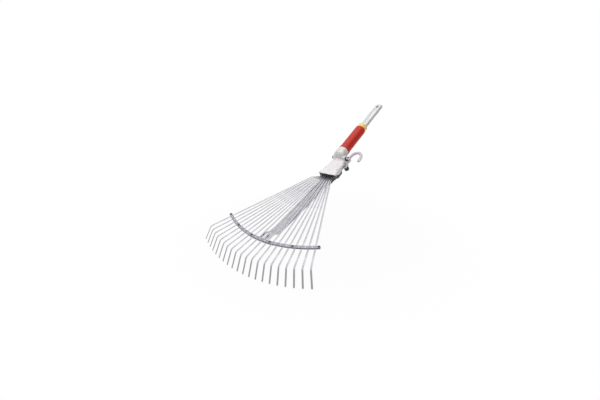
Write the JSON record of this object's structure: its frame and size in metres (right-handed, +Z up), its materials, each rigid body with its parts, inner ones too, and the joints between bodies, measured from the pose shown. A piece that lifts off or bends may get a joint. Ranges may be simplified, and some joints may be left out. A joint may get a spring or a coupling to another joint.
{
  "type": "adjustable rake head",
  "caption": "Adjustable fan rake head: flat spring tines through a sliding spreader, a cam clamp, a sleeve and a plug for a separate handle.",
  "frame": {"origin": "middle of the end face of the plug that goes into a handle", "axes": "+X to the right, +Y level and towards the handle, +Z up; the plug rises 31.3 degrees from +Y and the plane of the tines falls 23.3 degrees towards -Y, as the rake is held in use"},
  "size_m": [0.433, 0.6992, 0.4044],
  "materials": {
    "spring_steel": "zinc plated, satin",
    "sheet_steel": "zinc plated sheet, satin",
    "dark_steel": "dark passivated",
    "black_plastic": "moulded, fine grain",
    "white_sheet": "bright, half gloss",
    "grey_casting": "cast, satin",
    "plug_casting": "cast, satin",
    "lever_casting": "cast, satin",
    "red_plastic": "moulded, half gloss",
    "yellow_plastic": "moulded, half gloss"
  },
  "bodies": {
    "head": {"plug": "plug_casting", "snap_spring": "spring_steel", "seat_ring": "yellow_plastic", "grip_sleeve": "red_plastic", "neck_casting": "grey_casting", "shank_pin": "dark_steel", "clamp_bolt": "dark_steel", "clamp_washer": "spring_steel", "thrust_pad": "black_plastic", "lever_pin": "dark_steel", "hood": "white_sheet", "tine_holder_upper": "black_plastic", "tine_separator": "sheet_steel", "tine_holder_lower": "black_plastic", "strut_guide": "black_plastic", "stack_bolt": "dark_steel", "stack_nut": "dark_steel", "holder_rivet_left": "white_sheet", "holder_rivet_right": "white_sheet"},
    "spreader": {"strut": "sheet_steel", "strut_foot": "sheet_steel", "foot_rivet_left": "dark_steel", "foot_rivet_right": "dark_steel", "spreader_lower": "sheet_steel", "spreader_upper": "sheet_steel", "slide_knob": "black_plastic", "spreader_rivet_1": "dark_steel", "spreader_rivet_2": "dark_steel", "spreader_rivet_3": "dark_steel", "spreader_rivet_4": "dark_steel", "spreader_rivet_5": "dark_steel", "spreader_rivet_6": "dark_steel"},
    "lever": {"cam_lever": "lever_casting"},
    "stud": {"snap_stud": "dark_steel"},
    "tine_01": {"tine_01": "spring_steel"},
    "tine_02": {"tine_02": "spring_steel"},
    "tine_03": {"tine_03": "spring_steel"},
    "tine_04": {"tine_04": "spring_steel"},
    "tine_05": {"tine_05": "spring_steel"},
    "tine_06": {"tine_06": "spring_steel"},
    "tine_07": {"tine_07": "spring_steel"},
    "tine_08": {"tine_08": "spring_steel"},
    "tine_09": {"tine_09": "spring_steel"},
    "tine_10": {"tine_10": "spring_steel"},
    "tine_11": {"tine_11": "spring_steel"},
    "tine_12": {"tine_12": "spring_steel"},
    "tine_13": {"tine_13": "spring_steel"},
    "tine_14": {"tine_14": "spring_steel"},
    "tine_15": {"tine_15": "spring_steel"},
    "tine_16": {"tine_16": "spring_steel"},
    "tine_17": {"tine_17": "spring_steel"},
    "tine_18": {"tine_18": "spring_steel"},
    "tine_19": {"tine_19": "spring_steel"},
    "tine_20": {"tine_20": "spring_steel"}
  },
  "joints": [
    {"name": "spreader_slide", "type": "slide", "parent": "head", "child": "spreader", "axis": [0, -0.9184, -0.3955], "range_m": [-0.05, 0.045]},
    {"name": "lever_hinge", "type": "hinge", "parent": "head", "child": "lever", "pos_m": [0.034, -0.24521, -0.15845], "axis": [0, -0.3955, 0.9184], "range_deg": [-90, 0]},
    {"name": "stud_press", "type": "slide", "parent": "head", "child": "stud", "axis": [0, 0.5195, -0.8545], "range_m": [0, 0.003], "stiffness_N_per_m": 1500, "springref_m": -0.002, "deforming": ["snap_spring"]},
    {"name": "tine_01_swing", "type": "hinge", "parent": "head", "child": "tine_01", "pos_m": [-0.01615, -0.30434, -0.20569], "axis": [0, -0.3955, 0.9184], "range_deg": [-3.97, 3.58]},
    {"name": "tine_02_swing", "type": "hinge", "parent": "head", "child": "tine_02", "pos_m": [-0.01445, -0.30434, -0.20569], "axis": [0, -0.3955, 0.9184], "range_deg": [-3.58, 3.22]},
    {"name": "tine_03_swing", "type": "hinge", "parent": "head", "child": "tine_03", "pos_m": [-0.01275, -0.30434, -0.20569], "axis": [0, -0.3955, 0.9184], "range_deg": [-3.17, 2.86]},
    {"name": "tine_04_swing", "type": "hinge", "parent": "head", "child": "tine_04", "pos_m": [-0.01105, -0.30434, -0.20569], "axis": [0, -0.3955, 0.9184], "range_deg": [-2.77, 2.49]},
    {"name": "tine_05_swing", "type": "hinge", "parent": "head", "child": "tine_05", "pos_m": [-0.00935, -0.30434, -0.20569], "axis": [0, -0.3955, 0.9184], "range_deg": [-2.35, 2.12]},
    {"name": "tine_06_swing", "type": "hinge", "parent": "head", "child": "tine_06", "pos_m": [-0.00765, -0.30434, -0.20569], "axis": [0, -0.3955, 0.9184], "range_deg": [-1.93, 1.74]},
    {"name": "tine_07_swing", "type": "hinge", "parent": "head", "child": "tine_07", "pos_m": [-0.00595, -0.30434, -0.20569], "axis": [0, -0.3955, 0.9184], "range_deg": [-1.51, 1.36]},
    {"name": "tine_08_swing", "type": "hinge", "parent": "head", "child": "tine_08", "pos_m": [-0.00425, -0.30434, -0.20569], "axis": [0, -0.3955, 0.9184], "range_deg": [-1.09, 0.98]},
    {"name": "tine_09_swing", "type": "hinge", "parent": "head", "child": "tine_09", "pos_m": [-0.00255, -0.30434, -0.20569], "axis": [0, -0.3955, 0.9184], "range_deg": [-0.66, 0.6]},
    {"name": "tine_10_swing", "type": "hinge", "parent": "head", "child": "tine_10", "pos_m": [-0.00085, -0.30434, -0.20569], "axis": [0, -0.3955, 0.9184], "range_deg": [-0.234, 0.212]},
    {"name": "tine_11_swing", "type": "hinge", "parent": "head", "child": "tine_11", "pos_m": [0.00085, -0.30434, -0.20569], "axis": [0, -0.3955, 0.9184], "range_deg": [-0.212, 0.234]},
    {"name": "tine_12_swing", "type": "hinge", "parent": "head", "child": "tine_12", "pos_m": [0.00255, -0.30434, -0.20569], "axis": [0, -0.3955, 0.9184], "range_deg": [-0.6, 0.66]},
    {"name": "tine_13_swing", "type": "hinge", "parent": "head", "child": "tine_13", "pos_m": [0.00425, -0.30434, -0.20569], "axis": [0, -0.3955, 0.9184], "range_deg": [-0.98, 1.09]},
    {"name": "tine_14_swing", "type": "hinge", "parent": "head", "child": "tine_14", "pos_m": [0.00595, -0.30434, -0.20569], "axis": [0, -0.3955, 0.9184], "range_deg": [-1.36, 1.51]},
    {"name": "tine_15_swing", "type": "hinge", "parent": "head", "child": "tine_15", "pos_m": [0.00765, -0.30434, -0.20569], "axis": [0, -0.3955, 0.9184], "range_deg": [-1.74, 1.93]},
    {"name": "tine_16_swing", "type": "hinge", "parent": "head", "child": "tine_16", "pos_m": [0.00935, -0.30434, -0.20569], "axis": [0, -0.3955, 0.9184], "range_deg": [-2.12, 2.35]},
    {"name": "tine_17_swing", "type": "hinge", "parent": "head", "child": "tine_17", "pos_m": [0.01105, -0.30434, -0.20569], "axis": [0, -0.3955, 0.9184], "range_deg": [-2.49, 2.77]},
    {"name": "tine_18_swing", "type": "hinge", "parent": "head", "child": "tine_18", "pos_m": [0.01275, -0.30434, -0.20569], "axis": [0, -0.3955, 0.9184], "range_deg": [-2.86, 3.17]},
    {"name": "tine_19_swing", "type": "hinge", "parent": "head", "child": "tine_19", "pos_m": [0.01445, -0.30434, -0.20569], "axis": [0, -0.3955, 0.9184], "range_deg": [-3.22, 3.58]},
    {"name": "tine_20_swing", "type": "hinge", "parent": "head", "child": "tine_20", "pos_m": [0.01615, -0.30434, -0.20569], "axis": [0, -0.3955, 0.9184], "range_deg": [-3.58, 3.97]}
  ],
  "couplings": [
    {"joint": "tine_01_swing", "follows": "spreader_slide", "rad_per_m": 1.3802},
    {"joint": "tine_02_swing", "follows": "spreader_slide", "rad_per_m": 1.2422},
    {"joint": "tine_03_swing", "follows": "spreader_slide", "rad_per_m": 1.1007},
    {"joint": "tine_04_swing", "follows": "spreader_slide", "rad_per_m": 0.95839},
    {"joint": "tine_05_swing", "follows": "spreader_slide", "rad_per_m": 0.81344},
    {"joint": "tine_06_swing", "follows": "spreader_slide", "rad_per_m": 0.66723},
    {"joint": "tine_07_swing", "follows": "spreader_slide", "rad_per_m": 0.5205},
    {"joint": "tine_08_swing", "follows": "spreader_slide", "rad_per_m": 0.37234},
    {"joint": "tine_09_swing", "follows": "spreader_slide", "rad_per_m": 0.22362},
    {"joint": "tine_10_swing", "follows": "spreader_slide", "rad_per_m": 0.07458},
    {"joint": "tine_11_swing", "follows": "spreader_slide", "rad_per_m": -0.07458},
    {"joint": "tine_12_swing", "follows": "spreader_slide", "rad_per_m": -0.22362},
    {"joint": "tine_13_swing", "follows": "spreader_slide", "rad_per_m": -0.37234},
    {"joint": "tine_14_swing", "follows": "spreader_slide", "rad_per_m": -0.5205},
    {"joint": "tine_15_swing", "follows": "spreader_slide", "rad_per_m": -0.66723},
    {"joint": "tine_16_swing", "follows": "spreader_slide", "rad_per_m": -0.81344},
    {"joint": "tine_17_swing", "follows": "spreader_slide", "rad_per_m": -0.95839},
    {"joint": "tine_18_swing", "follows": "spreader_slide", "rad_per_m": -1.1007},
    {"joint": "tine_19_swing", "follows": "spreader_slide", "rad_per_m": -1.2422},
    {"joint": "tine_20_swing", "follows": "spreader_slide", "rad_per_m": -1.3802}
  ]
}
